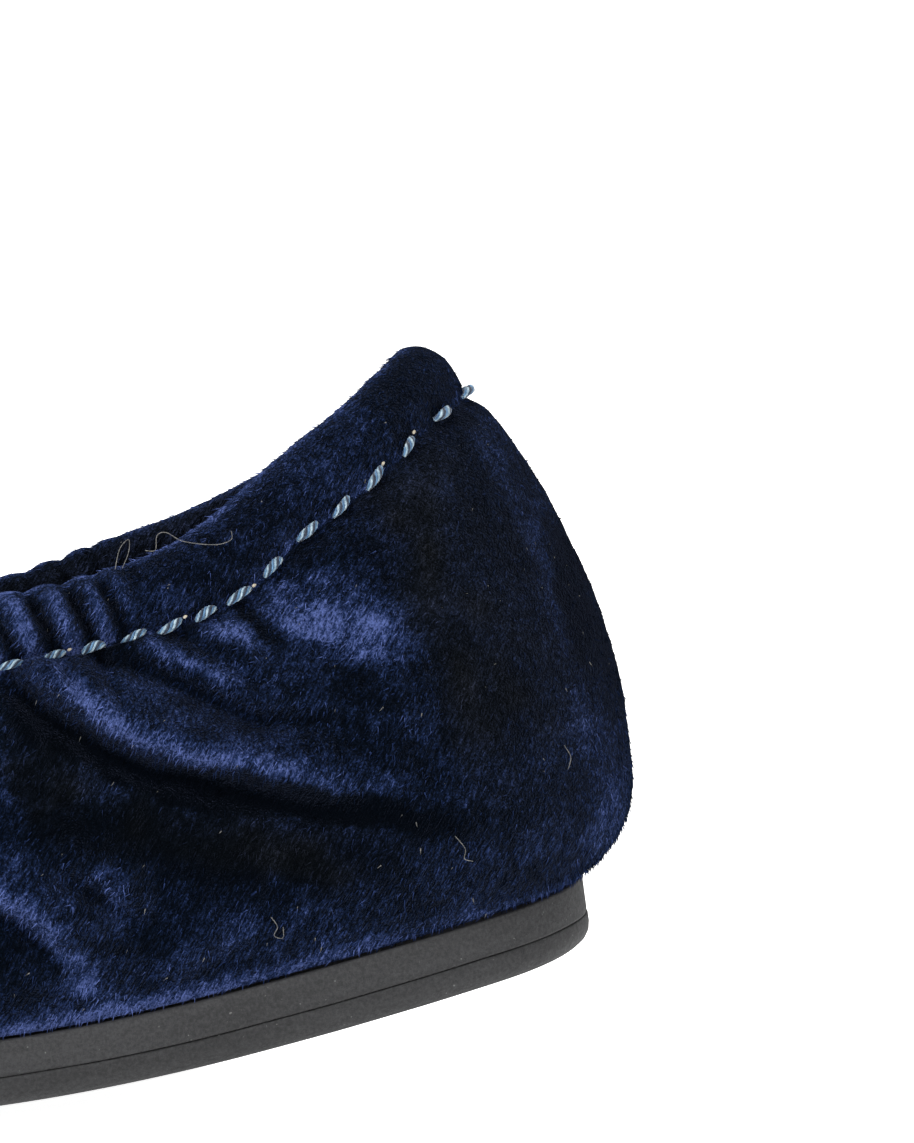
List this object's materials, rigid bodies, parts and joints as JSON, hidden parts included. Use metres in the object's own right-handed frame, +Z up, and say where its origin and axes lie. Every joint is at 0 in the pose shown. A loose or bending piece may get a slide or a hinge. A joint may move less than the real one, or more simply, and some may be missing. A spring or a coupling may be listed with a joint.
{
  "type": "slipper",
  "caption": "Foldable low-cut velvet slipper for the left foot, with a gathered elastic collar, topstitched hem and two-layer rubber sole that curls up when unworn.",
  "frame": {"origin": "centre of the bounding box in plan, on the floor under the flat of the sole", "axes": "-X towards the toe, +X towards the heel, +Y towards the inner side of the foot, -Y towards its outer side, +Z up"},
  "size_m": [0.2424, 0.0762, 0.0769],
  "materials": {
    "velvet": "crushed velvet, navy, with lighter blue highlights on the pile",
    "lining": "plain brushed knit, dark navy",
    "outsole": "matte charcoal rubber with a fine tread",
    "midsole": "matte charcoal foamed rubber",
    "footbed_foam": "soft open foam, cream",
    "sock": "fine woven cloth, dark navy",
    "elastic": "woven elastic tape, off-white",
    "thread": "thick twisted thread, light blue and white strands",
    "counter": "stiffened felt",
    "tape": "woven tape, navy"
  },
  "bodies": {
    "waist": {"outsole_waist": "outsole", "midsole_waist": "midsole", "footbed_foam_waist": "footbed_foam", "sock_liner_waist": "sock", "velvet_waist_inner": "velvet", "velvet_waist_bend_inner": "velvet", "velvet_ball_bend_inner": "velvet", "velvet_waist_outer": "velvet", "velvet_waist_bend_outer": "velvet", "velvet_ball_bend_outer": "velvet", "hem_waist_inner": "velvet", "hem_waist_bend_inner": "velvet", "hem_ball_bend_inner": "velvet", "hem_waist_outer": "velvet", "hem_waist_bend_outer": "velvet", "hem_ball_bend_outer": "velvet", "elastic_waist_inner": "elastic", "elastic_waist_bend_inner": "elastic", "elastic_ball_bend_inner": "elastic", "elastic_waist_outer": "elastic", "elastic_waist_bend_outer": "elastic", "elastic_ball_bend_outer": "elastic", "thread_waist_inner": "thread", "thread_waist_bend_inner": "thread", "thread_ball_bend_inner": "thread", "thread_waist_outer": "thread", "thread_waist_bend_outer": "thread", "thread_ball_bend_outer": "thread", "lining_waist_inner": "lining", "lining_waist_bend_inner": "lining", "lining_ball_bend_inner": "lining", "lining_waist_outer": "lining", "lining_waist_bend_outer": "lining", "lining_ball_bend_outer": "lining"},
    "heel": {"outsole_heel": "outsole", "midsole_heel": "midsole", "footbed_foam_heel": "footbed_foam", "sock_liner_heel": "sock", "velvet_heel_inner": "velvet", "velvet_heel_outer": "velvet", "hem_heel": "velvet", "elastic_heel": "elastic", "thread_heel": "thread", "lining_heel": "lining", "heel_counter": "counter", "back_seam_tape": "tape"},
    "forefoot": {"outsole_forefoot": "outsole", "midsole_forefoot": "midsole", "footbed_foam_forefoot": "footbed_foam", "sock_liner_forefoot": "sock", "velvet_toe": "velvet", "hem_toe": "velvet", "elastic_toe": "elastic", "thread_toe": "thread", "lining_toe": "lining"}
  },
  "joints": [
    {"name": "waist_fold", "type": "hinge", "parent": "waist", "child": "heel", "pos_m": [0.02515, 0, 0.0133], "axis": [0, -1, 0], "range_deg": [-10, 60], "stiffness_Nm_per_rad": 1.2, "deforming": ["velvet_waist_bend_inner", "velvet_waist_bend_outer", "hem_waist_bend_inner", "hem_waist_bend_outer", "elastic_waist_bend_inner", "elastic_waist_bend_outer", "thread_waist_bend_inner", "thread_waist_bend_outer", "lining_waist_bend_inner", "lining_waist_bend_outer"]},
    {"name": "ball_flex", "type": "hinge", "parent": "waist", "child": "forefoot", "pos_m": [-0.04182, 0, 0.0139], "axis": [0, 1, 0], "range_deg": [-7, 45], "stiffness_Nm_per_rad": 1.2, "deforming": ["velvet_ball_bend_inner", "velvet_ball_bend_outer", "hem_ball_bend_inner", "hem_ball_bend_outer", "elastic_ball_bend_inner", "elastic_ball_bend_outer", "thread_ball_bend_inner", "thread_ball_bend_outer", "lining_ball_bend_inner", "lining_ball_bend_outer"]}
  ]
}
